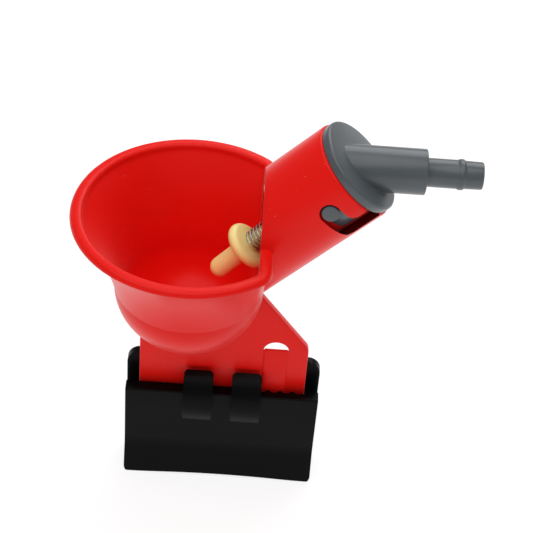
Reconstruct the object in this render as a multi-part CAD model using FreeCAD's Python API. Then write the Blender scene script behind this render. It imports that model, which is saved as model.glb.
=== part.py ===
"""Clip-on cup drinker for poultry: a moulded cup with a slanting socket, a bayonet water inlet that
carries a spring-loaded peck valve, and a clip that holds the cup on a cage wire or a panel edge.

Millimetres, +Z up.  The model is drawn about the centre of the cup's rim: X runs from the cup towards
the hose, Y from front to back.  At the end every piece is moved so that the origin lies in the middle
of the clip's panel seat.
"""
import FreeCAD, Part
import math
import os

V = FreeCAD.Vector
X_AXIS = V(1, 0, 0)
Y_AXIS = V(0, 1, 0)
Z_AXIS = V(0, 0, 1)
FAR = 400.0                     # half size of the blocks that stand for "everything on this side"
BITE = 0.5                      # how far fused pieces run into each other, and cutters past a face
TOUCH = 0.001                   # two positions closer than this are the same

# ---- driving dimensions: cup ------------------------------------------------------------------
rim_radius = 34.8               # outside of the rolled lip
lip_width = 3.7
lip_rise = 1.4                  # height of the lip above its lower edge
lip_round = 1.5                 # outer roll of the lip
lip_inner_round = 0.4
ease_share = 0.22               # width of the narrow flats of an eased edge, as a share of its radius
lip_corner = 6.0                # plan radius where the round lip turns into the flat side
cup_wall = 2.0
flat_x = 19.8                   # inner face of the cup's flat side, from the rim's centre
shoulder_drop = 0.3             # the lip's underside lies this far below the rim's level
crease_radius = 22.2            # outside of the cup where the bell meets the lower bowl
crease_depth = 25.2
bell_sag = 1.4                  # how far the bell curves in from a straight cone
cup_depth = 43.8                # rim's level to the outside of the bottom
foot_radius = 9.0               # flat spot under the bottom
bowl_bulge = 3.8                # how far the lower bowl swells out from a straight cone
bell_chords = 3                 # the curved walls are drawn as this many cones
bowl_chords = 4

# ---- driving dimensions: socket tube and bayonet ----------------------------------------------
tube_radius = 14.7
tube_wall = 2.8
tube_rise = 46.0                # degrees above horizontal
tube_drop = 4.9                 # axis below the rim where it crosses the cup's flat side
tube_length = 35.6              # from that crossing to the square end of the tube
tube_edge = 0.6
pin_radius = 2.5
pin_inset = 8.0                 # pin centre from the end of the tube
pin_clearance = 0.6
pin_turn = -5.0                 # degrees, the pins' diameter against the horizontal
slot_start = 23.5               # degrees from the pin's seat to the near side of the entry slot
slot_end = 49.0
slot_round = 2.2

# ---- driving dimensions: mounting plate -------------------------------------------------------
plate_thickness = 2.6
plate_left = -14.2
plate_right = 37.4
plate_slope = 53.0              # degrees, the slanting edge under the tube
plate_corner = 4.0
plate_top = -30.0               # how high the plate runs up inside the cup's skin
window_x = 27.5                 # half-moon window
window_z = -50.95
window_radius = 4.0
window_sill = 1.1               # sill above the window circle's centre
pad_width = 7.2                 # raised pad below the window
pad_height = 0.5

# ---- driving dimensions: clip -----------------------------------------------------------------
clip_centre = 11.8
clip_width = 60.0
clip_back = 2.6                 # thickness of the back wall
clip_front = 4.0                # thickness of the front wall
clip_top = -57.4                # top of the back wall
clip_ledge = -67.1              # top of the front wall
clip_floor = -84.0              # bottom of the plate's pocket
clip_web = 3.0                  # web between pocket and jaw
clip_crease = -90.4             # where the front lip starts to flare
clip_bottom = -101.5
clip_flare = 3.6                # how far the lip stands out at its foot
clip_lip = 2.4                  # thickness of the flared lip
clip_corner = 4.5
clip_foot_corner = 2.2
clip_arch = 1.0                 # hollow of the lip's lower edge
plate_clearance = 0.2           # each side of the plate in its pocket

finger_pitch = 14.9
finger_width = 9.1
finger_thickness = 2.0
finger_top = -59.6
finger_foot = -75.8
finger_stand = 3.8              # how far the fingers bulge past the front wall
finger_gap = 0.3                # fingertip to plate
finger_low = 1.5                # the bulge is deepest this far below the strap's middle
finger_corner = 1.5

tooth_radius = 0.9
tooth_pitch = 3.8
tooth_count = 3
tooth_first = 26.1

# ---- driving dimensions: inlet plug -----------------------------------------------------------
plug_clearance = 0.15           # barrel in the tube, each side
barrel_length = 22.4
chamber_radius = 9.35           # inside of the barrel, where the valve sits
flange_radius = 14.2
flange_thickness = 2.6
flange_edge = 0.5
stub_radius = 6.45
stub_drop = 1.2                 # stub axis below the middle of the flange's face
stub_end = 64.0
tail_radius = 4.05
tail_end = 79.8
ridge_radius = 4.35
ridge_x = 73.7
ridge_land = 1.2
ridge_slope = 0.6
neck_radius = 3.95              # tail just outside the ridge
tip_radius = 3.85
water_bore = 2.4
inlet_wall = 4.1                # between the chamber and the flange's face

# ---- driving dimensions: valve ----------------------------------------------------------------
bush_flange = 1.2
bush_plate = 3.0                # plate that the stem passes through, from the bush's foot
bush_depth = 4.4                # how far the bush goes into the barrel
bush_clearance = 0.05
bush_bore = 2.8
bush_cup = 6.2                  # radius of the hollow round the seal
seat_land = 0.9                 # width of the raised ring that the seal closes on
seat_rise = 0.6
spring_recess = 0.6             # depth of the spring's recess under the bush
spring_recess_radius = 4.2
ring_section = 0.8              # radius of the O-ring's section
ring_inset = 2.1                # O-ring groove centre from the bush's flange
ring_clearance = 0.05

seal_radius = 5.0
seal_thickness = 2.0
seal_dome = 2.8                 # radius of the seal's domed hub about the rocking centre
stem_neck = 1.7                 # radius of the stem in the bush
stem_shaft = 2.35               # radius of the stem inside the spring
stem_shoulder = 3.4             # neck starts this far below the bush's foot
stem_tip = 3.05
disc_radius = 7.4
disc_thickness = 3.3
rim_chords = 4                  # the disc's round rim is drawn as this many cones
nose_chords = 3
disc_drop = 6.0                 # disc centre below the crossing of tube axis and flat side
tip_drop = 20.6                 # end of the stem below the same crossing
neck_room = 0.35                # seal's hole round the neck, so that the stem can rock
stem_sag = 3.0                  # degrees, how far the loose stem hangs below the tube's axis
cap_radius = 3.2
cap_lift = 1.6                  # cap's rim above the rocking centre
cap_height = 2.6
cap_clearance = 0.1             # cap's hollow over the seal's dome
cap_fit = 0.05                  # cap on the neck

wire_radius = 0.35
spring_radius = 3.05            # centre line of the wire
spring_pitch = 2.1
spring_room = 0.3               # top coil to the recess it pushes on, so that the stem can hang

# ---- worked out from the above ----------------------------------------------------------------
shoulder_radius = rim_radius - lip_width + cup_wall     # outside of the cup just under the lip
tube_bore = tube_radius - tube_wall
barrel_radius = tube_bore - plug_clearance
barrel_end = tube_length - barrel_length
pin_s = tube_length - pin_inset
pin_hole = pin_radius + pin_clearance
bush_foot = barrel_end - bush_flange
seat_s = bush_foot + bush_plate + seat_rise
rock_s = seat_s + seal_thickness / 2                    # the stem rocks about this point
cap_foot = rock_s + cap_lift
spring_top = bush_foot + spring_recess - spring_room
disc_top = -disc_drop + disc_thickness / 2
half_plate = plate_thickness / 2
pocket = half_plate + plate_clearance
clip_left = clip_centre - clip_width / 2
clip_right = clip_centre + clip_width / 2
front_face = -(pocket + clip_front)
back_face = pocket + clip_back
seat_z = clip_floor - clip_web                          # the panel's edge stops here
jaw_front = front_face + clip_lip
relief_right = plate_right + plate_clearance
relief_left = window_x - pad_width / 2 - plate_clearance
relief_depth = pad_height + tooth_radius                # the teeth clear the pad as the pocket clears the plate
steep = math.radians(tube_rise)
tube_foot_z = -tube_drop - tube_radius / math.cos(steep)    # tube's underside at the flat side
flange_face = V(flat_x + (tube_length + flange_thickness) * math.cos(steep), 0,
                -tube_drop + (tube_length + flange_thickness) * math.sin(steep))
origin = V(clip_centre, (jaw_front + pocket) / 2, seat_z)

TUBE = FreeCAD.Placement(V(flat_x, 0, -tube_drop), FreeCAD.Rotation(Y_AXIS, 90 - tube_rise))
AWAY = TUBE.Rotation.multVec(Z_AXIS)                    # along the tube, away from the cup
ROCK = TUBE.multVec(V(0, 0, rock_s))


# ---- helpers ----------------------------------------------------------------------------------
def block(x, y, z):
    """Box between three (low, high) pairs."""
    return Part.makeBox(x[1] - x[0], y[1] - y[0], z[1] - z[0], V(x[0], y[0], z[0]))


def rod(radius, start, end):
    """Round bar between two points."""
    return Part.makeCylinder(radius, (end - start).Length, start, end - start)


def along_tube(shape):
    """Place a piece that was drawn about its own Z axis on the socket's axis."""
    placed = shape.copy()
    placed.Placement = TUBE.multiply(shape.Placement)
    return placed


def hanging(shape):
    """Place a piece of the stem on the tube's axis and let it hang about the rocking centre."""
    hung = along_tube(shape)
    hung.rotate(ROCK, Y_AXIS, -stem_sag)
    return hung


def wire_of(*edges):
    return Part.Wire([edge.toShape() if hasattr(edge, "toShape") else edge for edge in edges])


def line(a, b):
    return Part.LineSegment(a, b)


def bow(a, b, sag, chords):
    """Bowed line from a to b in the XZ plane, in equal chords, that leaves the straight by sag to its left."""
    side = V(a.z - b.z, 0, b.x - a.x)
    side.normalize()
    arc = Part.Arc(a, (a + b) * 0.5 + side * sag, b).toShape()
    points = arc.discretize(chords + 1)
    return [line(start, end) for start, end in zip(points, points[1:])]


def spun(wire):
    """Solid of revolution about Z from a closed wire in the XZ plane."""
    return Part.Face(wire).revolve(V(0, 0, 0), Z_AXIS, 360)


def cross_section(centre, radius, sides):
    """Closed outline of a round wire or ring in the XZ plane, drawn with flat sides."""
    turns = [2 * math.pi * side / sides for side in range(sides)]
    corners = [centre + V(radius * math.cos(turn), 0, radius * math.sin(turn)) for turn in turns]
    return Part.makePolygon(corners + corners[:1])


def polygon(points):
    return Part.Face(Part.makePolygon(points + points[:1]))


def edges_where(shape, test):
    return [edge for edge in shape.Edges if test(edge)]


def at_level(z):
    """Test for edges that lie flat at one height."""
    return lambda edge: abs(edge.BoundBox.ZMin - z) < TOUCH and abs(edge.BoundBox.ZMax - z) < TOUCH


def upright(edge):
    box = edge.BoundBox
    return box.XLength < TOUCH and box.YLength < TOUCH


def along_y(z):
    """Test for straight edges that run front to back at one height."""
    return lambda edge: at_level(z)(edge) and edge.BoundBox.XLength < TOUCH


def along_y_at(point):
    return lambda edge: along_y(point.z)(edge) and abs(edge.BoundBox.XMin - point.x) < TOUCH


def along_x_at(y, z):
    """Test for edges that run left to right at one height and depth."""
    return lambda edge: at_level(z)(edge) and abs(edge.BoundBox.YMin - y) < TOUCH \
        and edge.BoundBox.YLength < TOUCH


def facing(shape, direction, offset):
    """The part of a shape on the far side of a plane: points with p . direction > offset."""
    slab = Part.makeBox(2 * FAR, 2 * FAR, FAR, V(-FAR, -FAR, 0))
    slab.Placement = FreeCAD.Placement(direction * offset, FreeCAD.Rotation(Z_AXIS, direction))
    return shape.common(slab)


# ---- cup: bowl, socket tube and mounting plate in one moulding ----------------------------------
def bowl_solid(inset, side):
    """Bowl below the lip, inset from the outside by a wall, and cut off flat at x = side."""
    shoulder = V(shoulder_radius - inset, 0, -shoulder_drop)
    crease = V(crease_radius - inset, 0, -crease_depth)
    foot = V(foot_radius, 0, inset - cup_depth)
    bottom = V(0, 0, inset - cup_depth)
    top = V(0, 0, -shoulder_drop)
    outline = wire_of(line(top, shoulder), *bow(shoulder, crease, -bell_sag, bell_chords),
                      *bow(crease, foot, bowl_bulge, bowl_chords), line(foot, bottom), line(bottom, top))
    return facing(spun(outline), V(-1, 0, 0), -side)


def rounded_d(radius, side, corner, low, high):
    """Upright prism of a circle cut off flat at x = side, with its two corners rounded."""
    prism = facing(Part.makeCylinder(radius, high - low, V(0, 0, low)), V(-1, 0, 0), -side)
    return prism.makeFillet(corner, edges_where(prism, upright))


def eased(shape, radius, level):
    """Round the edge at the top of a shape in three flats, each tangent to that radius."""
    flat = radius * (2 - math.sqrt(2))
    shape = shape.makeChamfer(flat, edges_where(shape, at_level(level)))
    narrow = radius * ease_share
    shape = shape.makeChamfer(narrow, edges_where(shape, at_level(level)))
    return shape.makeChamfer(narrow, edges_where(shape, at_level(level - flat)))


def rolled_lip():
    outside = rounded_d(rim_radius, flat_x + lip_width, lip_corner, -shoulder_drop, lip_rise)
    outside = eased(outside, lip_round, lip_rise)
    inside = rounded_d(rim_radius - lip_width, flat_x, lip_corner - lip_width,
                       -shoulder_drop - BITE, lip_rise + BITE)
    lip = outside.cut(inside)
    inner = edges_where(lip, lambda edge: at_level(lip_rise)(edge) and edge.BoundBox.XMax < flat_x + TOUCH)
    return lip.makeChamfer(lip_inner_round, inner)


def round_tube(radius, angle, s):
    """Point at a radius, an angle from the tube's underside and a height, in the tube's own frame."""
    turn = math.radians(angle)
    return V(radius * math.cos(turn), radius * math.sin(turn), s)


def radial_edges(shape, angle, s):
    """Edges that run through the tube's wall at an angle (from the tube's underside) and a height."""
    spot = round_tube((tube_radius + tube_bore) / 2, angle, s)
    return edges_where(shape, lambda edge: (edge.CenterOfMass - spot).Length < tube_wall / 4)


def ring_sector(low, high, start, angle):
    """Sector of a disc about the tube's axis, from a start angle, wider than the tube."""
    sector = Part.makeCylinder(tube_radius + tube_wall, high - low, V(0, 0, low), Z_AXIS, angle)
    sector.rotate(V(0, 0, 0), Z_AXIS, start)
    return sector


def tube_bore_cutter():
    return Part.makeCylinder(tube_bore, 3 * tube_length, V(0, 0, -1.5 * tube_length))


def socket_tube():
    """Tube about its own axis, with a bayonet slot on each side: seat, channel and entry."""
    tube = Part.makeCylinder(tube_radius, 2 * tube_length, V(0, 0, -tube_length))
    tube = tube.makeChamfer(tube_edge, edges_where(tube, at_level(tube_length)))
    tube = tube.cut(tube_bore_cutter())
    for seat in (pin_turn - 90, pin_turn + 90):
        tube = tube.cut(ring_sector(pin_s - pin_hole, pin_s + pin_hole, seat, slot_end))
        tube = tube.cut(ring_sector(pin_s, tube_length + BITE, seat + slot_start, slot_end - slot_start))
        corners = radial_edges(tube, seat + slot_start, pin_s + pin_hole)
        corners += radial_edges(tube, seat + slot_end, pin_s - pin_hole)
        tube = tube.makeFillet(slot_round, corners)
        tube = tube.cut(rod(pin_hole, V(0, 0, pin_s), round_tube(2 * tube_radius, seat, pin_s)))
    return along_tube(tube)


def mounting_plate():
    """Flat plate under bowl and tube: slanting edge, half-moon window and raised pad."""
    front = -half_plate
    slope = math.tan(math.radians(plate_slope))
    head = V(flat_x - cup_wall, front, tube_foot_z + cup_wall * slope)
    bend = V(plate_right, front, tube_foot_z - (plate_right - flat_x) * slope)
    outline = [V(plate_left, front, plate_top), head, bend,
               V(plate_right, front, clip_floor), V(plate_left, front, clip_floor)]
    plate = polygon(outline).extrude(Y_AXIS * plate_thickness)
    plate = plate.makeFillet(plate_corner, edges_where(plate, along_y_at(bend)))
    sill = window_z + window_sill
    window = rod(window_radius, V(window_x, -FAR, window_z), V(window_x, FAR, window_z))
    plate = plate.cut(facing(window, Z_AXIS, sill))
    pad = block((window_x - pad_width / 2, window_x + pad_width / 2),
                (front - pad_height, 0), (clip_floor, sill))
    return plate.fuse(pad)


def cup_body():
    """Bowl, rolled lip, socket tube and mounting plate."""
    blank = bowl_solid(0, flat_x + cup_wall).fuse([mounting_plate(), rolled_lip()])
    blank = blank.fuse(facing(socket_tube(), X_AXIS, flat_x))
    hollow = bowl_solid(cup_wall, flat_x)
    bore = facing(along_tube(tube_bore_cutter()), X_AXIS, flat_x - cup_wall)
    return blank.cut([hollow, bore]).removeSplitter()


# ---- clip -------------------------------------------------------------------------------------
def clip_section():
    """Section of the clip in the YZ plane: pocket above, panel jaw with a flared lip below."""
    flare_out = front_face - clip_flare
    flare_in = flare_out + clip_lip
    x = clip_left
    outline = [V(x, pocket, clip_top), V(x, back_face, clip_top), V(x, back_face, clip_bottom),
               V(x, pocket, clip_bottom), V(x, pocket, seat_z), V(x, jaw_front, seat_z),
               V(x, jaw_front, clip_crease), V(x, flare_in, clip_bottom), V(x, flare_out, clip_bottom),
               V(x, front_face, clip_crease), V(x, front_face, clip_ledge), V(x, -pocket, clip_ledge),
               V(x, -pocket, clip_floor), V(x, pocket, clip_floor)]
    return polygon(outline)


def finger(x):
    """Curved strap that grips the plate above the pocket; a cage wire lies behind it."""
    tip = -(half_plate + finger_gap)
    bulge = front_face - finger_stand
    middle = (finger_top + finger_foot) / 2 - finger_low
    root = front_face + clip_lip / 2
    left = x - finger_width / 2

    def at_tip(edge):
        box = edge.BoundBox
        return box.XLength < TOUCH and box.ZMin > finger_top - finger_thickness
    outer = Part.Arc(V(left, tip - finger_thickness / 2, finger_top), V(left, bulge, middle),
                     V(left, bulge + finger_thickness / 2, finger_foot))
    inner = Part.Arc(V(left, root, finger_foot + finger_thickness), V(left, bulge + finger_thickness, middle),
                     V(left, tip, finger_top - finger_thickness / 2))
    strap = wire_of(outer, line(outer.EndPoint, V(left, root, finger_foot)),
                    line(V(left, root, finger_foot), inner.StartPoint), inner,
                    line(inner.EndPoint, outer.StartPoint))
    strap = Part.Face(strap).extrude(X_AXIS * finger_width)
    return strap.makeFillet(finger_corner, edges_where(strap, at_tip))


def mounting_clip():
    """Clip in one moulding: pocket for the cup's plate, two spring fingers and a panel jaw."""
    clip = clip_section().extrude(X_AXIS * clip_width)
    clip = clip.makeFillet(clip_flare, edges_where(clip, along_x_at(front_face, clip_crease)))
    clip = clip.makeFillet(clip_corner, edges_where(clip, along_y(clip_top)))
    clip = clip.makeFillet(clip_foot_corner, edges_where(clip, along_y(clip_bottom)))
    hollow = clip_width ** 2 / (8 * clip_arch) + clip_arch / 2
    arch = rod(hollow, V(clip_centre, -FAR, clip_bottom + clip_arch - hollow),
               V(clip_centre, 0, clip_bottom + clip_arch - hollow))
    relief = block((relief_left, relief_right), (-pocket - relief_depth, 0), (clip_floor, clip_ledge + BITE))
    clip = clip.cut([arch, relief])
    for side in (-1, 1):
        clip = clip.fuse(finger(clip_centre + side * finger_pitch / 2))
    tooth_y = -pocket - relief_depth
    for count in range(tooth_count):
        x = tooth_first + count * tooth_pitch
        clip = clip.fuse(rod(tooth_radius, V(x, tooth_y, clip_floor), V(x, tooth_y, clip_ledge)))
    return clip.removeSplitter()


# ---- inlet plug -------------------------------------------------------------------------------
def inlet_plug():
    """Bayonet plug: barrel, flange and pins on the tube's axis, hose tail level along +X."""
    barrel = Part.makeCylinder(barrel_radius, barrel_length + BITE, V(0, 0, barrel_end))
    flange = Part.makeCylinder(flange_radius, flange_thickness, V(0, 0, tube_length))
    flange = flange.makeChamfer(flange_edge, edges_where(flange, at_level(tube_length)))
    flange = flange.makeChamfer(flange_edge, edges_where(flange, at_level(tube_length + flange_thickness)))
    body = barrel.fuse(flange)
    for seat in (pin_turn - 90, pin_turn + 90):
        body = body.fuse(rod(pin_radius, V(0, 0, pin_s), round_tube(tube_radius, seat, pin_s)))
    body = along_tube(body)
    level = flange_face.z - stub_drop
    stub = rod(stub_radius, V(flat_x, 0, level), V(stub_end, 0, level))
    stub = facing(stub, AWAY, flange_face.dot(AWAY) - flange_thickness / 2)
    outline = [(stub_end - BITE, 0), (stub_end - BITE, tail_radius),
               (ridge_x - ridge_land / 2 - ridge_slope, tail_radius), (ridge_x - ridge_land / 2, ridge_radius),
               (ridge_x + ridge_land / 2, ridge_radius), (ridge_x + ridge_land / 2 + ridge_slope, neck_radius),
               (tail_end, tip_radius), (tail_end, 0)]
    tail = polygon([V(x, 0, level + radius) for x, radius in outline]).revolve(V(0, 0, level), X_AXIS, 360)
    body = body.fuse([stub, tail])
    chamber_length = barrel_length + flange_thickness - inlet_wall
    chamber = along_tube(Part.makeCylinder(chamber_radius, chamber_length, V(0, 0, barrel_end)))
    bore = rod(water_bore, V(flange_face.x - flange_radius / 2, 0, level), V(tail_end + BITE, 0, level))
    return body.cut([chamber, bore]).removeSplitter()


# ---- valve ------------------------------------------------------------------------------------
def valve_bush():
    """Bush in the barrel's lower end: the stem's passage and the raised seat that the seal closes."""
    radius = chamber_radius - bush_clearance
    bush = Part.makeCylinder(barrel_radius, bush_flange, V(0, 0, bush_foot))
    bush = bush.fuse(Part.makeCylinder(radius, bush_depth + bush_flange, V(0, 0, bush_foot)))
    plate_face = bush_foot + bush_plate
    bush = bush.cut(Part.makeCylinder(bush_cup, bush_depth, V(0, 0, plate_face)))
    bush = bush.fuse(Part.makeCylinder(bush_bore + seat_land, seat_rise + BITE, V(0, 0, plate_face - BITE)))
    bush = bush.cut(Part.makeCylinder(bush_bore, bush_depth, V(0, 0, bush_foot)))
    bush = bush.cut(Part.makeCylinder(spring_recess_radius, spring_recess, V(0, 0, bush_foot)))
    return along_tube(bush.cut(ring_groove()))


def ring_groove():
    """Square groove round the bush for the O-ring."""
    half = ring_section + ring_clearance
    floor = chamber_radius - 2 * half
    outside = Part.makeCylinder(chamber_radius, 2 * half, V(0, 0, barrel_end + ring_inset - half))
    return outside.cut(Part.makeCylinder(floor, 2 * half, V(0, 0, barrel_end + ring_inset - half)))


def bush_ring():
    """O-ring between bush and barrel, its section drawn eight-sided."""
    centre = chamber_radius - ring_clearance - ring_section
    section = cross_section(V(centre, 0, barrel_end + ring_inset), ring_section, 8)
    return along_tube(spun(section))


def ball(radius):
    return Part.makeSphere(radius, V(0, 0, rock_s))


def valve_seal():
    """Rubber seal: a washer on the seat with a domed hub for the cap to rock on."""
    washer = Part.makeCylinder(seal_radius, seal_thickness, V(0, 0, seat_s))
    dome = facing(ball(seal_dome), Z_AXIS, rock_s)
    hole = Part.makeCylinder(stem_neck + neck_room, 4 * seal_thickness, V(0, 0, seat_s - seal_thickness))
    return along_tube(washer.fuse(dome).cut(hole).removeSplitter())


def stem_cap():
    """Cap pushed on the stem's inner end; its hollow underside sits over the seal's dome."""
    cap = Part.makeCylinder(cap_radius, cap_height, V(0, 0, cap_foot))
    cap = cap.cut(Part.makeCylinder(stem_neck + cap_fit, cap_height, V(0, 0, cap_foot)))
    return hanging(cap.cut(ball(seal_dome + cap_clearance)))


def valve_stem():
    """Stem in one moulding: round tip, thick disc, shaft inside the spring and neck through the bush."""
    half = disc_thickness / 2
    shoulder = bush_foot - stem_shoulder
    neck_end = cap_foot + cap_height
    tip_flat = -tip_drop + stem_tip
    disc_inner = disc_radius - half
    edge = [V(0, 0, -tip_drop), V(stem_tip, 0, tip_flat), V(stem_tip, 0, -disc_drop - half),
            V(disc_inner, 0, -disc_drop - half), V(disc_inner, 0, disc_top), V(stem_shaft, 0, disc_top),
            V(stem_shaft, 0, shoulder), V(stem_neck, 0, shoulder + (stem_shaft - stem_neck)),
            V(stem_neck, 0, neck_end), V(0, 0, neck_end)]
    nose = bow(edge[0], edge[1], -stem_tip * (1 - math.cos(math.pi / 4)), nose_chords)
    rim = bow(edge[3], edge[4], -half, rim_chords)
    straight = [line(a, b) for a, b in zip(edge[4:], edge[5:])]
    outline = wire_of(*nose, line(edge[1], edge[2]), line(edge[2], edge[3]), *rim, *straight,
                      line(edge[-1], edge[0]))
    return hanging(spun(outline))


def return_spring():
    """Coil spring between the disc and the bush, its wire drawn four-sided."""
    low = disc_top + wire_radius
    height = spring_top - wire_radius - low
    path = Part.makeHelix(spring_pitch, height, spring_radius)
    section = cross_section(V(spring_radius, 0, 0), wire_radius, 4)
    coil = Part.Wire(path).makePipeShell([section], True, True)
    coil.translate(V(0, 0, low))
    return hanging(coil)


# ---- build ------------------------------------------------------------------------------------
pieces = {
    "cup_body": cup_body(),
    "mounting_clip": mounting_clip(),
    "inlet_plug": inlet_plug(),
    "valve_bush": valve_bush(),
    "bush_ring": bush_ring(),
    "valve_seal": valve_seal(),
    "stem_cap": stem_cap(),
    "valve_stem": valve_stem(),
    "return_spring": return_spring(),
}
os.makedirs("parts", exist_ok=True)
for name, shape in pieces.items():
    moved = shape.copy()
    moved.translate(-origin)
    moved.exportStep("parts/" + name + ".step")
    print(name, moved.isValid(), len(moved.Solids), round(moved.Volume / 1000, 3), "cm3")
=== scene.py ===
"""Looks of a clip-on poultry drinker: red cup moulding, black clip, grey inlet plug and yellow peck valve.

Shapes are drawn in millimetres about the centre of the cup's rim: X runs from the cup to the hose, Y from
front to back, Z up.  Each finished piece is then moved into the row frame, in metres.
"""

import math

import bmesh
import bpy
from mathutils import Matrix, Vector


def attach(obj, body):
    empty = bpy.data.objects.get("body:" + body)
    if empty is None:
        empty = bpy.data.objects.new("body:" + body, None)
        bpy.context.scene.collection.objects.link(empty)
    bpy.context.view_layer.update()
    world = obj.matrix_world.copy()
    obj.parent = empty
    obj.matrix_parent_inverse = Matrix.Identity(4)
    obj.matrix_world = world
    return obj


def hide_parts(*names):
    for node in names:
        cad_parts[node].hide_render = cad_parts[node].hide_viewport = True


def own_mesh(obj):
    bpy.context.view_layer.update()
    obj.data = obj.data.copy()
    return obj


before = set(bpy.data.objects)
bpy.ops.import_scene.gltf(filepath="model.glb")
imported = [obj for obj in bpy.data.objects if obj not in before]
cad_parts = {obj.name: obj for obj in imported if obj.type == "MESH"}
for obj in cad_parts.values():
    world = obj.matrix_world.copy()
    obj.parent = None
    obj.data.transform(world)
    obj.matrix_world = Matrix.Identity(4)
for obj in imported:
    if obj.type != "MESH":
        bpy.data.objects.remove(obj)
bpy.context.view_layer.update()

X_AXIS, Y_AXIS, Z_AXIS = Vector((1, 0, 0)), Vector((0, 1, 0)), Vector((0, 0, 1))
MM = 0.001
FULL_TURN = 2 * math.pi
ORIGIN = Vector((11.8, -0.8, -87.0))        # of the row frame, in the drawing's millimetres
TO_ROW = Matrix.Scale(MM, 4) @ Matrix.Translation(-ORIGIN)

# ---- sizes, in millimetres --------------------------------------------------------------------
RIM_RADIUS, LIP_WIDTH, LIP_TOP, LIP_FOOT = 34.8, 3.7, 1.4, -0.3
LIP_ROUND, LIP_INNER_ROUND, LIP_CORNER = 1.55, 1.2, 6.0
THROAT_ROUND = 2.6                          # soft turn from the lip into the bowl
BOWL_TOP = 0.4                              # the bowl's wall ends inside the lip
HOLLOW_TOP = 8                              # cutters run this far past the rim
WALL, FLAT_X = 2.0, 19.8
CREASE, CREASE_DEPTH, BELL_SAG = 22.2, 25.2, 1.4
FOOT_RADIUS, CUP_DEPTH, BOWL_BULGE = 9.0, 43.8, 3.8

TUBE_RADIUS, TUBE_BORE, TUBE_LENGTH, TUBE_DROP, TUBE_RISE = 14.7, 11.9, 35.6, 4.9, 46.0
TUBE_EDGE, TUBE_REACH = 0.6, 45             # the tube is drawn this long both ways and then cut off
PIN_RADIUS, PIN_S, PIN_HOLE, PIN_TURN = 2.5, 27.6, 3.1, -5.0
SLOT_START, SLOT_END, SLOT_ROUND = 23.5, 49.0, 2.2
SLOT_INSIDE, SLOT_OUTSIDE = 8, 21           # radii between which a slot is cut

PLATE_HALF, PLATE_LEFT, PLATE_RIGHT, PLATE_SLOPE, PLATE_CORNER = 1.3, -14.2, 37.4, 53.0, 4.0
WINDOW = Vector((27.5, 0, -50.95))
WINDOW_RADIUS, WINDOW_SILL, PAD_WIDTH, PAD_HEIGHT = 4.0, 1.1, 7.2, 0.5
SILL_FALL = 1.1                             # run to the back for each unit that the sill falls
PLATE_TOP, PLATE_EDGE, PAD_EDGE = -30, 0.3, 0.25

CLIP_CENTRE, CLIP_WIDTH, CLIP_TOP, CLIP_LEDGE, CLIP_FLOOR = 11.8, 60.0, -57.4, -67.1, -84.0
CLIP_SEAT, CLIP_CREASE, CLIP_BOTTOM = -87.0, -90.4, -101.5
POCKET, CLIP_BACK, CLIP_FRONT, CLIP_FLARE, CLIP_LIP = 1.5, 2.6, 4.0, 3.6, 2.4
CLIP_CORNER, CLIP_FOOT_CORNER, CLIP_ARCH, CLIP_EDGE, CLIP_SOFT = 4.5, 2.2, 1.0, 0.3, 0.5
FRONT_FACE = -(POCKET + CLIP_FRONT)
FINGER_PITCH, FINGER_WIDTH, FINGER_THICK = 14.9, 9.1, 2.0
FINGER_TOP, FINGER_FOOT, FINGER_STAND, FINGER_LOW, FINGER_CORNER = -59.6, -75.8, 3.8, 1.5, 1.45
RELIEF_GAP, FINGER_GAP, TOOTH_COUNT = 0.2, 0.3, 3
RELIEF_DEPTH, TOOTH_FIRST, TOOTH_PITCH, TOOTH_RADIUS = 1.4, 26.1, 3.8, 0.9

BARREL_RADIUS, BARREL_END, CHAMBER_RADIUS, CHAMBER_END = 11.75, 13.2, 9.35, 34.1
FLANGE_RADIUS, FLANGE_END = 14.2, 38.2
STUB_RADIUS, STUB_END, STUB_DROP, TAIL_RADIUS, TAIL_END = 6.45, 64.0, 1.2, 4.05, 79.8
RIDGE_X, RIDGE_RADIUS, WATER_BORE = 73.7, 4.35, 2.4
RIDGE_LAND, RIDGE_FOOT = 0.5, 1.1           # half lengths of the ridge at its top and at its foot
FLANGE_EDGE, STUB_EDGE, TAIL_EDGE, RIDGE_EDGE, PIN_EDGE = 0.7, 0.35, 0.4, 0.3, 0.3

ROCK_S, STEM_SAG = 16.6, 3.0
TIP_DROP, TIP_RADIUS, DISC_DROP, DISC_RADIUS, DISC_HALF = 20.6, 3.05, 6.0, 7.4, 1.65
SHAFT_RADIUS, NECK_RADIUS, SHOULDER_S, NECK_END = 2.35, 1.7, 8.6, 20.8
WIRE_RADIUS, SPRING_RADIUS, SPRING_PITCH, SPRING_TOP = 0.35, 3.05, 1.3, 12.3

RISE = math.radians(TUBE_RISE)
TUBE = Matrix.Translation((FLAT_X, 0, -TUBE_DROP)) @ Matrix.Rotation(math.pi / 2 - RISE, 4, "Y")
TUBE_AXIS = Vector((math.cos(RISE), 0, math.sin(RISE)))
ROCK = TUBE @ Vector((0, 0, ROCK_S))
HANG = Matrix.Translation(ROCK) @ Matrix.Rotation(-math.radians(STEM_SAG), 4, "Y") @ Matrix.Translation(-ROCK)
STUB_LEVEL = (TUBE @ Vector((0, 0, FLANGE_END))).z - STUB_DROP


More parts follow.
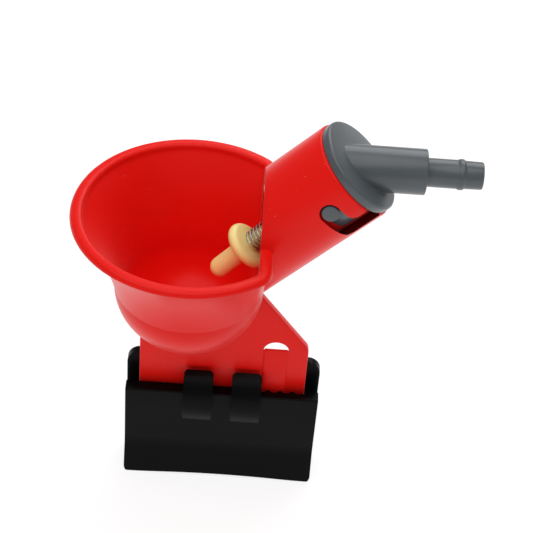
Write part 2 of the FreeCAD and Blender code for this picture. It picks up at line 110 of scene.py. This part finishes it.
# ---- drawing and solid helpers ----------------------------------------------------------------
def outline(corners, arc_steps=12, round_steps=4):
    """One closed face in the XZ plane.  A corner is (x, z), then if wanted its rounding radius and the
    sag of the side that leads to it."""
    bm = bmesh.new()
    ring, rounded = [], []
    for index, corner in enumerate(corners):
        x, z, radius, sag = (tuple(corner) + (0, 0))[:4]
        end = Vector((x, 0, z))
        if sag:
            start = Vector((corners[index - 1][0], 0, corners[index - 1][1]))
            chord = end - start
            side = Vector((-chord.z, 0, chord.x)).normalized()
            bend = (chord.length_squared / 4 + sag * sag) / (2 * sag)
            centre = (start + end) / 2 + side * (sag - bend)
            sweep = 2 * math.asin(chord.length / 2 / bend)
            for step in range(1, arc_steps):
                turn = Matrix.Rotation(sweep * step / arc_steps, 3, "Y")
                ring.append(bm.verts.new(centre + turn @ (start - centre)))
        ring.append(bm.verts.new(end))
        if radius:
            rounded.append((ring[-1], radius))
    bm.faces.new(ring)
    for vert, radius in rounded:
        before, after = (edge.other_vert(vert).co - vert.co for edge in vert.link_edges)
        reach = radius / math.tan(before.angle(after) / 2)
        bmesh.ops.bevel(bm, geom=[vert], offset=reach, offset_type="OFFSET", segments=round_steps,
                        profile=0.5, affect="VERTICES", clamp_overlap=False, material=-1)
    return bm


def closed(bm):
    """Merge what meets and turn every face outwards."""
    bmesh.ops.remove_doubles(bm, verts=bm.verts, dist=0.002)
    bmesh.ops.dissolve_degenerate(bm, edges=bm.edges, dist=0.001)
    bmesh.ops.recalc_face_normals(bm, faces=bm.faces)
    return bm


def turned(corners, steps=128, **how):
    """Solid of revolution about Z of an outline in the XZ plane."""
    bm = outline(corners, **how)
    on_axis = [edge for edge in bm.edges if all(abs(vert.co.x) < 0.001 for vert in edge.verts)]
    bmesh.ops.delete(bm, geom=on_axis + list(bm.faces), context="EDGES_FACES" if on_axis else "FACES_ONLY")
    bmesh.ops.spin(bm, geom=list(bm.edges) + list(bm.verts), cent=(0, 0, 0), axis=Z_AXIS, angle=FULL_TURN,
                   steps=steps, use_merge=True)
    return closed(bm)


def thickened(bm, depth):
    """Extrude a flat outline along Y."""
    grown = bmesh.ops.extrude_face_region(bm, geom=list(bm.faces))["geom"]
    bmesh.ops.translate(bm, verts=[part for part in grown if isinstance(part, bmesh.types.BMVert)],
                        vec=(0, depth, 0))
    return bm


def raised(corners, depth, edge=0.0, edge_steps=2, **how):
    """Prism of an outline, from y = 0 to y = depth, with eased edges."""
    bm = outline(corners, **how)
    closed(thickened(bm, depth))
    if edge:
        sharp = [one for one in bm.edges if one.calc_face_angle(0) > math.radians(50)]
        bmesh.ops.bevel(bm, geom=sharp, offset=edge, offset_type="OFFSET", segments=edge_steps, profile=0.5,
                        affect="EDGES", clamp_overlap=True, material=-1)
    return bm


def box(x, y, z):
    bm = bmesh.new()
    bmesh.ops.create_cube(bm, size=1)
    bmesh.ops.scale(bm, vec=(x[1] - x[0], y[1] - y[0], z[1] - z[0]), verts=bm.verts)
    bmesh.ops.translate(bm, vec=((x[0] + x[1]) / 2, (y[0] + y[1]) / 2, (z[0] + z[1]) / 2), verts=bm.verts)
    return bm


def moved(bm, matrix):
    bmesh.ops.transform(bm, matrix=matrix, verts=bm.verts)
    return bm


def rod(radius, start, end, steps=64):
    """Round bar between two points."""
    start, end = Vector(start), Vector(end)
    bm = bmesh.new()
    bmesh.ops.create_cone(bm, cap_ends=True, segments=steps, radius1=radius, radius2=radius,
                          depth=(end - start).length)
    turn = Z_AXIS.rotation_difference(end - start).to_matrix().to_4x4()
    return moved(bm, Matrix.Translation((start + end) / 2) @ turn)


def cut_off(bm, point, normal):
    """Remove what lies on the normal's side of a plane, and close the cut."""
    cut = bmesh.ops.bisect_plane(bm, geom=list(bm.verts) + list(bm.edges) + list(bm.faces), plane_co=point,
                                 plane_no=normal, clear_outer=True)
    edges = [part for part in cut["geom_cut"] if isinstance(part, bmesh.types.BMEdge)]
    bmesh.ops.contextual_create(bm, geom=edges)
    bmesh.ops.recalc_face_normals(bm, faces=bm.faces)
    return bm


def solid(bm):
    """Temporary object of a bmesh, still in the drawing's millimetres."""
    mesh = bpy.data.meshes.new("solid")
    bm.to_mesh(mesh)
    bm.free()
    made = bpy.data.objects.new("solid", mesh)
    bpy.context.scene.collection.objects.link(made)
    return made


def combine(base, others, operation):
    """Join, cut or intersect solids one by one; the others are used up."""
    for other in others:
        modifier = base.modifiers.new("combine", "BOOLEAN")
        modifier.operation, modifier.solver, modifier.object = operation, "EXACT", other
        done = base.evaluated_get(bpy.context.evaluated_depsgraph_get())
        mesh = bpy.data.meshes.new_from_object(done)
        base.modifiers.clear()
        base.data = mesh
        bpy.data.objects.remove(other)
    return base


def dressed(made, name, body, material, node, sharp=35.0):
    """Name a piece, shade it, move it into the row frame and hang it on its body in place of its node."""
    made.name = name
    mesh = made.data
    mesh.transform(TO_ROW)
    bm = bmesh.new()
    bm.from_mesh(mesh)
    bmesh.ops.remove_doubles(bm, verts=bm.verts, dist=2e-6)
    bmesh.ops.dissolve_degenerate(bm, edges=bm.edges, dist=1e-6)
    for face in bm.faces:
        face.smooth = True
        face.material_index = 0
    bm.to_mesh(mesh)
    bm.free()
    mesh.set_sharp_from_angle(angle=math.radians(sharp))
    mesh.materials.clear()
    mesh.materials.append(material)
    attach(made, body)
    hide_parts(node)
    return made


# ---- materials --------------------------------------------------------------------------------
class Finish:
    """A principled material with the few nodes that these mouldings need."""

    def __init__(self, name, colour, roughness, **sockets):
        self.material = bpy.data.materials.new(name)
        self.material.use_nodes = True
        self.tree = self.material.node_tree
        self.shader = self.tree.nodes["Principled BSDF"]
        self.shader.inputs["Base Color"].default_value = (*colour, 1)
        self.shader.inputs["Roughness"].default_value = roughness
        for socket, value in sockets.items():
            self.shader.inputs[socket.replace("_", " ")].default_value = value
        self.place = self.node("TexCoord").outputs["Object"]

    def node(self, kind, **settings):
        made = self.tree.nodes.new("ShaderNode" + kind)
        for key, value in settings.items():
            if key in made.inputs:
                made.inputs[key].default_value = value
            else:
                setattr(made, key, value)
        return made

    def link(self, start, end):
        self.tree.links.new(start, end)

    def noise(self, scale, detail=3.0, roughness=0.5):
        """Noise over the piece, with its scale in patches per metre."""
        made = self.node("TexNoise", Scale=scale, Detail=detail, Roughness=roughness)
        self.link(self.place, made.inputs["Vector"])
        return made.outputs["Fac"]

    def ramp(self, factor, stops):
        made = self.node("ValToRGB")
        ends = made.color_ramp.elements
        while len(ends) < len(stops):
            ends.new(0.5)
        for end, (where, colour) in zip(ends, stops):
            end.position = where
            end.color = (*colour, 1)
        self.link(factor, made.inputs["Fac"])
        return made.outputs["Color"]

    def between(self, factor, low, high):
        """Map a factor of 0..1 to a range."""
        made = self.node("MapRange")
        made.inputs["To Min"].default_value = low
        made.inputs["To Max"].default_value = high
        self.link(factor, made.inputs["Value"])
        return made.outputs["Result"]

    def mix(self, factor, first, second):
        """Blend two colours, each a socket or a plain colour; the factor is a socket."""
        made = self.node("Mix", data_type="RGBA")
        for socket, value in ((made.inputs["Factor"], factor), (made.inputs[6], first),
                              (made.inputs[7], second)):
            if isinstance(value, bpy.types.NodeSocket):
                self.link(value, socket)
            else:
                socket.default_value = (*value, 1)
        return made.outputs[2]

    def edges(self, radius, height=None, strength=0.1, distance=0.0002):
        """Soft moulded edges of a radius in millimetres, with a fine surface height over them if given."""
        soft = self.node("Bevel", samples=6, Radius=radius * MM)
        if height is None:
            self.link(soft.outputs["Normal"], self.shader.inputs["Normal"])
            return
        bump = self.node("Bump", Strength=strength, Distance=distance)
        self.link(height, bump.inputs["Height"])
        self.link(soft.outputs["Normal"], bump.inputs["Normal"])
        self.link(bump.outputs["Normal"], self.shader.inputs["Normal"])


def red_moulding():
    finish = Finish("red_moulding", (0.84, 0.008, 0.004), 0.3, Specular_IOR_Level=0.15, Sheen_Weight=0.1,
                    Sheen_Roughness=0.35)
    broad = finish.noise(28, 2)
    colour = finish.ramp(broad, [(0.35, (0.82, 0.0075, 0.004)), (0.65, (0.86, 0.0085, 0.0045))])
    specks = finish.ramp(finish.noise(1900, 0), [(0.9, (0, 0, 0)), (0.915, (1, 1, 1))])
    colour = finish.mix(specks, colour, (0.80, 0.35, 0.28))
    finish.link(colour, finish.shader.inputs["Base Color"])
    finish.link(finish.between(finish.noise(60, 3), 0.26, 0.36), finish.shader.inputs["Roughness"])
    finish.edges(0.45, finish.noise(160, 2), 0.12, 0.0002)
    return finish.material


def black_moulding():
    finish = Finish("black_moulding", (0.002, 0.002, 0.002), 0.34, Specular_IOR_Level=0.08)
    colour = finish.ramp(finish.noise(40, 3), [(0.3, (0.0014, 0.0015, 0.0016)),
                                               (0.7, (0.0024, 0.0025, 0.0026))])
    finish.link(colour, finish.shader.inputs["Base Color"])
    finish.link(finish.between(finish.noise(90, 4), 0.28, 0.38), finish.shader.inputs["Roughness"])
    finish.edges(0.45, finish.noise(700, 3), 0.15, 0.0001)
    return finish.material


def grey_moulding():
    finish = Finish("grey_moulding", (0.115, 0.138, 0.150), 0.36, Specular_IOR_Level=0.5)
    colour = finish.ramp(finish.noise(70, 3), [(0.3, (0.074, 0.086, 0.094)), (0.7, (0.090, 0.103, 0.112))])
    finish.link(colour, finish.shader.inputs["Base Color"])
    finish.link(finish.between(finish.noise(150, 3), 0.24, 0.34), finish.shader.inputs["Roughness"])
    finish.edges(0.4, finish.noise(260, 3), 0.2, 0.0002)
    return finish.material


def yellow_moulding():
    finish = Finish("yellow_moulding", (0.80, 0.44, 0.13), 0.38, Specular_IOR_Level=0.45,
                    Subsurface_Weight=0.25, Subsurface_Scale=0.002)
    finish.shader.inputs["Subsurface Radius"].default_value = (1.0, 0.5, 0.2)
    colour = finish.ramp(finish.noise(120, 2), [(0.3, (0.98, 0.80, 0.30)), (0.7, (0.98, 0.85, 0.36))])
    finish.link(colour, finish.shader.inputs["Base Color"])
    finish.link(finish.between(finish.noise(300, 3), 0.32, 0.46), finish.shader.inputs["Roughness"])
    finish.edges(0.3, finish.noise(500, 2), 0.1, 0.0001)
    return finish.material


def white_moulding():
    finish = Finish("white_moulding", (0.76, 0.75, 0.70), 0.4)
    colour = finish.ramp(finish.noise(150, 3), [(0.3, (0.72, 0.71, 0.66)), (0.7, (0.79, 0.78, 0.74))])
    finish.link(colour, finish.shader.inputs["Base Color"])
    finish.edges(0.15)
    return finish.material


def spring_wire():
    finish = Finish("spring_wire", (0.58, 0.56, 0.52), 0.28, Metallic=1.0)
    colour = finish.ramp(finish.noise(1500, 3), [(0.35, (0.34, 0.31, 0.27)), (0.65, (0.66, 0.64, 0.60))])
    finish.link(colour, finish.shader.inputs["Base Color"])
    finish.link(finish.between(finish.noise(2500, 2), 0.2, 0.4), finish.shader.inputs["Roughness"])
    return finish.material


def seal_rubber():
    finish = Finish("seal_rubber", (0.02, 0.02, 0.02), 0.6)
    colour = finish.ramp(finish.noise(400, 3), [(0.3, (0.016, 0.016, 0.016)), (0.7, (0.028, 0.027, 0.026))])
    finish.link(colour, finish.shader.inputs["Base Color"])
    finish.edges(0.1, finish.noise(1800, 2), 0.2, 0.0001)
    return finish.material


# ---- cup moulding -----------------------------------------------------------------------------
def bowl(inset, side, top):
    """Bowl of revolution inside or outside its wall, cut off flat on the hose side."""
    rim = RIM_RADIUS - LIP_WIDTH + WALL - inset
    throat = THROAT_ROUND if inset else 0
    floor = inset - CUP_DEPTH
    bm = turned([(0, top), (rim, top), (rim, LIP_FOOT, throat), (CREASE - inset, -CREASE_DEPTH, 0, -BELL_SAG),
                 (FOOT_RADIUS, floor, 0, BOWL_BULGE), (0, floor)], 160, arc_steps=18)
    if inset:       # the crease is sharp outside only
        soften(bm, [vert for vert in bm.verts if abs(vert.co.z + CREASE_DEPTH) < 4], 8)
    soften(bm, [vert for vert in bm.verts if abs(vert.co.xy.length - FOOT_RADIUS) < 3], 6)
    return solid(cut_off(bm, (side, 0, 0), X_AXIS))


def soften(bm, verts, times):
    for _ in range(times):
        bmesh.ops.smooth_vert(bm, verts=verts, factor=0.5, use_axis_x=True, use_axis_y=True, use_axis_z=True)


def lip():
    """Rolled lip: its section runs along the flat side, round both corners and round the bowl."""
    inner = RIM_RADIUS - LIP_WIDTH
    bm = outline([(inner, LIP_FOOT, 0.2), (RIM_RADIUS, LIP_FOOT, 0.15), (RIM_RADIUS, LIP_TOP, LIP_ROUND),
                  (inner, LIP_TOP, LIP_INNER_ROUND)], round_steps=8)
    bmesh.ops.delete(bm, geom=list(bm.faces), context="FACES_ONLY")
    reach = RIM_RADIUS - LIP_CORNER
    centre_x = FLAT_X + LIP_WIDTH - LIP_CORNER
    centre_y = math.sqrt(reach ** 2 - centre_x ** 2)
    turn = math.atan2(centre_y, centre_x)
    bmesh.ops.translate(bm, verts=bm.verts, vec=(FLAT_X - inner, -centre_y, 0))
    last = list(bm.verts) + list(bm.edges)
    for angle, run, centre, count in ((0, 2 * centre_y, (0, 0, 0), 24), (turn, 0, (centre_x, centre_y, 0), 16),
                                      (FULL_TURN - 2 * turn, 0, (0, 0, 0), 150),
                                      (turn, 0, (centre_x, -centre_y, 0), 16)):
        last = bmesh.ops.spin(bm, geom=last, cent=centre, axis=Z_AXIS, dvec=(0, run / count, 0), angle=angle,
                              steps=count)["geom_last"]
    return solid(closed(bm))


def plate():
    """Mounting plate with its slanting edge, half-moon window and raised pad."""
    slope = math.tan(math.radians(PLATE_SLOPE))
    tube_foot = -TUBE_DROP - TUBE_RADIUS / math.cos(RISE)
    head = (FLAT_X - WALL, tube_foot + WALL * slope)
    bend = (PLATE_RIGHT, tube_foot - (PLATE_RIGHT - FLAT_X) * slope, PLATE_CORNER)
    bm = raised([(PLATE_LEFT, PLATE_TOP), (PLATE_LEFT, CLIP_FLOOR), (PLATE_RIGHT, CLIP_FLOOR), bend, head],
                2 * PLATE_HALF, PLATE_EDGE, round_steps=10)
    flat = solid(moved(bm, Matrix.Translation((0, -PLATE_HALF, 0))))
    sill = WINDOW.z + WINDOW_SILL
    window = rod(WINDOW_RADIUS, WINDOW - Y_AXIS * 10, WINDOW + Y_AXIS * 10)
    window = cut_off(window, (0, -PLATE_HALF - PAD_HEIGHT, sill), (0, -1, -SILL_FALL))
    flat = combine(flat, [solid(window)], "DIFFERENCE")
    left, right = WINDOW.x - PAD_WIDTH / 2, WINDOW.x + PAD_WIDTH / 2
    pad = raised([(left, sill), (left, CLIP_FLOOR), (right, CLIP_FLOOR), (right, sill)],
                 PAD_HEIGHT + PLATE_EDGE, PAD_EDGE)
    return combine(flat, [solid(moved(pad, Matrix.Translation((0, -PLATE_HALF - PAD_HEIGHT, 0))))], "UNION")


def slot(seat):
    """Cutter for one bayonet slot: its outline is drawn flat and then wrapped round the tube."""
    ends = [-PIN_HOLE / TUBE_RADIUS, math.radians(SLOT_START), math.radians(SLOT_END)]
    left, entry, right = (angle * TUBE_RADIUS for angle in ends)
    low, high, out = PIN_S - PIN_HOLE, PIN_S + PIN_HOLE, TUBE_LENGTH + 2
    seat_round = PIN_HOLE * 0.98                # just short of meeting, so that both corners keep an edge
    bm = outline([(left, low, seat_round), (right, low, SLOT_ROUND), (right, out), (entry, out),
                  (entry, high, SLOT_ROUND), (left, high, seat_round)], round_steps=10)
    straight = [edge for edge in bm.edges if edge.calc_length() > 1.2]
    bmesh.ops.subdivide_edges(bm, edges=straight, cuts=14)
    thickened(bm, 1)
    for vert in bm.verts:
        radius = SLOT_OUTSIDE if vert.co.y > 0.5 else SLOT_INSIDE
        turn = vert.co.x / TUBE_RADIUS + math.radians(seat)
        vert.co = (radius * math.cos(turn), radius * math.sin(turn), vert.co.z)
    return solid(moved(closed(bm), TUBE))


def cup_moulding(material):
    cup = bowl(0, FLAT_X + WALL, BOWL_TOP)
    tube = turned([(0, -TUBE_REACH), (TUBE_RADIUS, -TUBE_REACH), (TUBE_RADIUS, TUBE_LENGTH, TUBE_EDGE),
                   (0, TUBE_LENGTH)])
    tube = cut_off(moved(tube, TUBE), (FLAT_X, 0, 0), -X_AXIS)
    bore = moved(turned([(0, -TUBE_REACH), (TUBE_BORE, -TUBE_REACH), (TUBE_BORE, TUBE_REACH), (0, TUBE_REACH)]),
                 TUBE)
    bore = cut_off(bore, (FLAT_X - WALL, 0, 0), -X_AXIS)
    cup = combine(cup, [plate(), lip(), solid(tube)], "UNION")
    cup = combine(cup, [bowl(WALL, FLAT_X, HOLLOW_TOP), solid(bore), slot(PIN_TURN - 90), slot(PIN_TURN + 90)],
                  "DIFFERENCE")
    dressed(cup, "cup_moulding", "cup", material, "cup_body", 28)
    crease_level = (-CREASE_DEPTH - ORIGIN.z) * MM
    for edge in cup.data.edges:
        ends = [cup.data.vertices[index].co for index in edge.vertices]
        if all(abs(end.z - crease_level) < 0.05 * MM for end in ends):
            edge.use_edge_sharp = True
    return cup


# ---- clip moulding ----------------------------------------------------------------------------
ACROSS = Matrix(((0, 1, 0, 0), (1, 0, 0, 0), (0, 0, 1, 0), (0, 0, 0, 1)))    # drawing's XZ plane to YZ


def strap(x):
    """Curved spring finger that presses on the plate."""
    tip = -(PLATE_HALF + FINGER_GAP)
    bulge = FRONT_FACE - FINGER_STAND
    middle = (FINGER_TOP + FINGER_FOOT) / 2 - FINGER_LOW
    root = FRONT_FACE + CLIP_LIP / 2
    outer = three_point((tip - FINGER_THICK / 2, FINGER_TOP), (bulge, middle),
                        (bulge + FINGER_THICK / 2, FINGER_FOOT))
    inner = three_point((root, FINGER_FOOT + FINGER_THICK), (bulge + FINGER_THICK, middle),
                        (tip, FINGER_TOP - FINGER_THICK / 2))
    bm = outline(outer + [(root, FINGER_FOOT)] + inner)
    closed(thickened(bm, FINGER_WIDTH))
    tips = [Vector(outer[0]), Vector(inner[-1])]
    corners = [edge for edge in bm.edges if abs(edge.verts[0].co.y - edge.verts[1].co.y) < 0.01
               and all(min((vert.co.xz - tip).length for tip in tips) < 0.01 for vert in edge.verts)]
    bmesh.ops.bevel(bm, geom=corners, offset=FINGER_CORNER, offset_type="OFFSET", segments=6, profile=0.5,
                    affect="EDGES", clamp_overlap=True, material=-1)
    return solid(closed(moved(moved(bm, ACROSS), Matrix.Translation((x - FINGER_WIDTH / 2, 0, 0)))))


def three_point(first, second, third, steps=10):
    """Points on the arc through three points, ends included."""
    (ax, az), (bx, bz), (cx, cz) = first, second, third
    d = 2 * (ax * (bz - cz) + bx * (cz - az) + cx * (az - bz))
    ux = ((ax * ax + az * az) * (bz - cz) + (bx * bx + bz * bz) * (cz - az)
          + (cx * cx + cz * cz) * (az - bz)) / d
    uz = ((ax * ax + az * az) * (cx - bx) + (bx * bx + bz * bz) * (ax - cx)
          + (cx * cx + cz * cz) * (bx - ax)) / d
    start, through, stop = (math.atan2(z - uz, x - ux) for x, z in (first, second, third))
    radius = math.hypot(ax - ux, az - uz)
    sweep = (stop - start) % FULL_TURN
    if (through - start) % FULL_TURN > sweep:
        sweep -= FULL_TURN
    angles = [start + sweep * step / steps for step in range(steps + 1)]
    return [(ux + radius * math.cos(angle), uz + radius * math.sin(angle)) for angle in angles]


def clip_moulding(material):
    flare_out = FRONT_FACE - CLIP_FLARE
    jaw = FRONT_FACE + CLIP_LIP
    back = POCKET + CLIP_BACK
    section = [(POCKET, CLIP_TOP, CLIP_EDGE), (back, CLIP_TOP, CLIP_EDGE), (back, CLIP_BOTTOM, CLIP_EDGE),
               (POCKET, CLIP_BOTTOM, CLIP_EDGE), (POCKET, CLIP_SEAT, CLIP_EDGE), (jaw, CLIP_SEAT, CLIP_EDGE),
               (jaw, CLIP_CREASE, 2), (flare_out + CLIP_LIP, CLIP_BOTTOM, CLIP_SOFT),
               (flare_out, CLIP_BOTTOM, CLIP_SOFT), (FRONT_FACE, CLIP_CREASE, 12),
               (FRONT_FACE, CLIP_LEDGE, CLIP_SOFT), (-POCKET, CLIP_LEDGE, CLIP_EDGE),
               (-POCKET, CLIP_FLOOR, 0.2), (POCKET, CLIP_FLOOR, 0.2)]
    bm = moved(raised(section, CLIP_WIDTH, round_steps=5), ACROSS)
    left, right = CLIP_CENTRE - CLIP_WIDTH / 2, CLIP_CENTRE + CLIP_WIDTH / 2
    clip = solid(closed(moved(bm, Matrix.Translation((left, 0, 0)))))
    face = raised([(left, CLIP_TOP, CLIP_CORNER), (left, CLIP_BOTTOM, CLIP_FOOT_CORNER),
                   (right, CLIP_BOTTOM, CLIP_FOOT_CORNER, CLIP_ARCH), (right, CLIP_TOP, CLIP_CORNER)],
                  40, arc_steps=40, round_steps=10)
    clip = combine(clip, [solid(moved(face, Matrix.Translation((0, -20, 0))))], "INTERSECT")
    wall = -POCKET - RELIEF_DEPTH
    relief = box((WINDOW.x - PAD_WIDTH / 2 - RELIEF_GAP, PLATE_RIGHT + RELIEF_GAP), (wall, 0),
                 (CLIP_FLOOR, CLIP_LEDGE + 1))
    clip = combine(clip, [solid(relief)], "DIFFERENCE")
    fingers = [strap(CLIP_CENTRE + side * FINGER_PITCH / 2) for side in (-1, 1)]
    places = [TOOTH_FIRST + count * TOOTH_PITCH for count in range(TOOTH_COUNT)]
    teeth = [solid(rod(TOOTH_RADIUS, (x, wall, CLIP_FLOOR), (x, wall, CLIP_LEDGE - 0.05), 32)) for x in places]
    clip = combine(clip, fingers + teeth, "UNION")
    return dressed(clip, "clip_moulding", "clip", material, "mounting_clip", 30)


# ---- inlet plug -------------------------------------------------------------------------------
def plug_moulding(material):
    flange_foot = TUBE_LENGTH - 0.02            # bedded on the tube's end without a gap
    barrel = turned([(0, BARREL_END), (BARREL_RADIUS, BARREL_END, 0.2), (BARREL_RADIUS, flange_foot),
                     (FLANGE_RADIUS, flange_foot, FLANGE_EDGE / 2), (FLANGE_RADIUS, FLANGE_END, FLANGE_EDGE),
                     (0, FLANGE_END)])
    plug = solid(moved(barrel, TUBE))
    stub = turned([(0, FLAT_X), (STUB_RADIUS, FLAT_X), (STUB_RADIUS, STUB_END, STUB_EDGE), (0, STUB_END)], 96)
    lay = Matrix.Translation((0, 0, STUB_LEVEL)) @ Matrix.Rotation(math.pi / 2, 4, "Y")
    flange_middle = TUBE @ Vector((0, 0, (TUBE_LENGTH + FLANGE_END) / 2))
    stub = cut_off(moved(stub, lay), flange_middle, -TUBE_AXIS)
    tail = turned([(0, STUB_END - 1), (TAIL_RADIUS + 0.4, STUB_END - 1), (TAIL_RADIUS, STUB_END + 0.4),
                   (TAIL_RADIUS, RIDGE_X - RIDGE_FOOT, TAIL_EDGE),
                   (RIDGE_RADIUS, RIDGE_X - RIDGE_LAND, RIDGE_EDGE),
                   (RIDGE_RADIUS, RIDGE_X + RIDGE_LAND, RIDGE_EDGE),
                   (TAIL_RADIUS - 0.1, RIDGE_X + RIDGE_FOOT, RIDGE_EDGE),
                   (TAIL_RADIUS - 0.2, TAIL_END, TAIL_EDGE), (0, TAIL_END)], 96)
    tail = moved(tail, lay)
    pin_end = TUBE_RADIUS - 0.1                 # just below the tube's skin
    pins = []
    for seat in (PIN_TURN - 90, PIN_TURN + 90):
        turn = math.radians(seat)
        out = Vector((math.cos(turn), math.sin(turn), 0))
        pin = turned([(0, 0), (PIN_RADIUS, 0), (PIN_RADIUS, pin_end, PIN_EDGE), (0, pin_end)], 64)
        aim = Z_AXIS.rotation_difference(out).to_matrix().to_4x4()
        pins.append(solid(moved(pin, TUBE @ Matrix.Translation((0, 0, PIN_S)) @ aim)))
    plug = combine(plug, pins + [solid(stub), solid(tail)], "UNION")
    chamber = turned([(0, 0), (CHAMBER_RADIUS, 0), (CHAMBER_RADIUS, CHAMBER_END), (0, CHAMBER_END)], 96)
    inlet = rod(WATER_BORE, (FLAT_X + 20, 0, STUB_LEVEL), (TAIL_END + 5, 0, STUB_LEVEL), 48)
    plug = combine(plug, [solid(moved(chamber, TUBE)), solid(inlet)], "DIFFERENCE")
    return dressed(plug, "plug_moulding", "plug", material, "inlet_plug", 30)


# ---- peck valve -------------------------------------------------------------------------------
def stem_moulding(material):
    low, high = -DISC_DROP - DISC_HALF, -DISC_DROP + DISC_HALF
    inner = DISC_RADIUS - DISC_HALF
    step = SHAFT_RADIUS - NECK_RADIUS           # the shoulder slopes at 45 degrees
    bm = turned([(0, -TIP_DROP), (TIP_RADIUS, -TIP_DROP, TIP_RADIUS * 0.99), (TIP_RADIUS, low, 0.6),
                 (inner, low), (inner, high, 0, -DISC_HALF * 0.999), (SHAFT_RADIUS, high),
                 (SHAFT_RADIUS, SHOULDER_S), (NECK_RADIUS, SHOULDER_S + step), (NECK_RADIUS, NECK_END),
                 (0, NECK_END)], 96, arc_steps=14, round_steps=10)
    stem = solid(moved(bm, HANG @ TUBE))
    return dressed(stem, "stem_moulding", "stem", material, "valve_stem", 40)


def spring_coil(material):
    """Closed coil: a small ring of wire is screwed up the stem."""
    bottom = -DISC_DROP + DISC_HALF + WIRE_RADIUS
    height = SPRING_TOP - WIRE_RADIUS - bottom
    turns = height / SPRING_PITCH
    bm = bmesh.new()
    bmesh.ops.create_circle(bm, cap_ends=True, segments=12, radius=WIRE_RADIUS)
    moved(bm, Matrix.Translation((SPRING_RADIUS, 0, bottom)) @ Matrix.Rotation(math.pi / 2, 4, "X"))
    steps = round(turns * 40)
    bmesh.ops.spin(bm, geom=list(bm.faces), cent=(0, 0, 0), axis=Z_AXIS, dvec=(0, 0, height / steps),
                   angle=FULL_TURN * turns, steps=steps)
    spring = solid(moved(closed(bm), HANG @ TUBE))
    dressed(spring, "spring_coil", "stem", material, "return_spring", 50)
    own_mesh(spring)
    return spring


# ---- build the object -------------------------------------------------------------------------
finishes = {make.__name__: make() for make in (red_moulding, black_moulding, grey_moulding, yellow_moulding,
                                               white_moulding, spring_wire, seal_rubber)}
for node, slot_name in (("valve_bush", "white_moulding"), ("stem_cap", "white_moulding"),
                        ("valve_seal", "seal_rubber"), ("bush_ring", "seal_rubber")):
    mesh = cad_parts[node].data
    mesh.materials.clear()
    mesh.materials.append(finishes[slot_name])
cup_moulding(finishes["red_moulding"])
clip_moulding(finishes["black_moulding"])
plug_moulding(finishes["grey_moulding"])
stem_moulding(finishes["yellow_moulding"])
spring_coil(finishes["spring_wire"])


# ---- floor, light and camera ------------------------------------------------------------------
FLOOR_GAP = 0.02                            # millimetres under the clip
AIM = (0.01, 0, 0.06)                       # where the softboxes point
LOOK_AT = Vector((22.3, 0, -17.5))          # middle of the view, in the drawing's millimetres
LIFT, SWING, ROLL = (math.radians(angle) for angle in (41.6, -1.6, 5.0))
DISTANCE, LENS, SENSOR = 0.4677, 108.0675422, 36


def pale_floor():
    bm = bmesh.new()
    bmesh.ops.create_grid(bm, x_segments=2, y_segments=2, size=4)
    level = (CLIP_BOTTOM - ORIGIN.z - FLOOR_GAP) * MM
    bmesh.ops.translate(bm, verts=bm.verts, vec=(0, 0, level))
    mesh = bpy.data.meshes.new("floor")
    bm.to_mesh(mesh)
    bm.free()
    floor = bpy.data.objects.new("floor", mesh)
    bpy.context.scene.collection.objects.link(floor)
    finish = Finish("floor_white", (0.3, 0.3, 0.3), 0.9, Specular_IOR_Level=0.0, Emission_Color=(1, 1, 1, 1),
                    Emission_Strength=0.8)
    mesh.materials.append(finish.material)


def soft_light(name, place, size, power):
    """Square softbox; its place is in metres in the row frame."""
    data = bpy.data.lights.new(name, "AREA")
    data.shape, data.size, data.energy = "SQUARE", size, power
    lamp = bpy.data.objects.new(name, data)
    lamp.location = place
    lamp.rotation_euler = (Vector(AIM) - Vector(place)).to_track_quat("-Z", "Y").to_euler()
    bpy.context.scene.collection.objects.link(lamp)


def studio():
    """Even pale surroundings, a large softbox overhead and a smaller one behind on the right."""
    world = bpy.data.worlds.new("studio")
    bpy.context.scene.world = world
    world.use_nodes = True
    world.node_tree.nodes["Background"].inputs["Color"].default_value = (1, 1, 1, 1)
    world.node_tree.nodes["Background"].inputs["Strength"].default_value = 0.32
    soft_light("overhead", (-0.1, -0.15, 0.88), 1.0, 4.9)
    soft_light("back_right", (0.25, 0.6, 0.6), 0.6, 2.8)
    bpy.context.scene.view_settings.view_transform = "Standard"


def camera():
    """Long lens from the front and well above, rolled a little."""
    back = Vector((math.sin(SWING) * math.cos(LIFT), -math.cos(SWING) * math.cos(LIFT), math.sin(LIFT)))
    right = (-back).cross(Z_AXIS).normalized()
    up = right.cross(-back)
    across = math.cos(ROLL) * right + math.sin(ROLL) * up
    upward = -math.sin(ROLL) * right + math.cos(ROLL) * up
    data = bpy.data.cameras.new("camera")
    data.sensor_width, data.lens = SENSOR, LENS
    data.clip_start, data.clip_end = 0.01, 20
    seen = bpy.data.objects.new("camera", data)
    turn = Matrix((across, upward, back)).transposed().to_4x4()
    seen.matrix_world = Matrix.Translation(TO_ROW @ LOOK_AT + back * DISTANCE) @ turn
    bpy.context.scene.collection.objects.link(seen)
    bpy.context.scene.camera = seen


pale_floor()
studio()
camera()
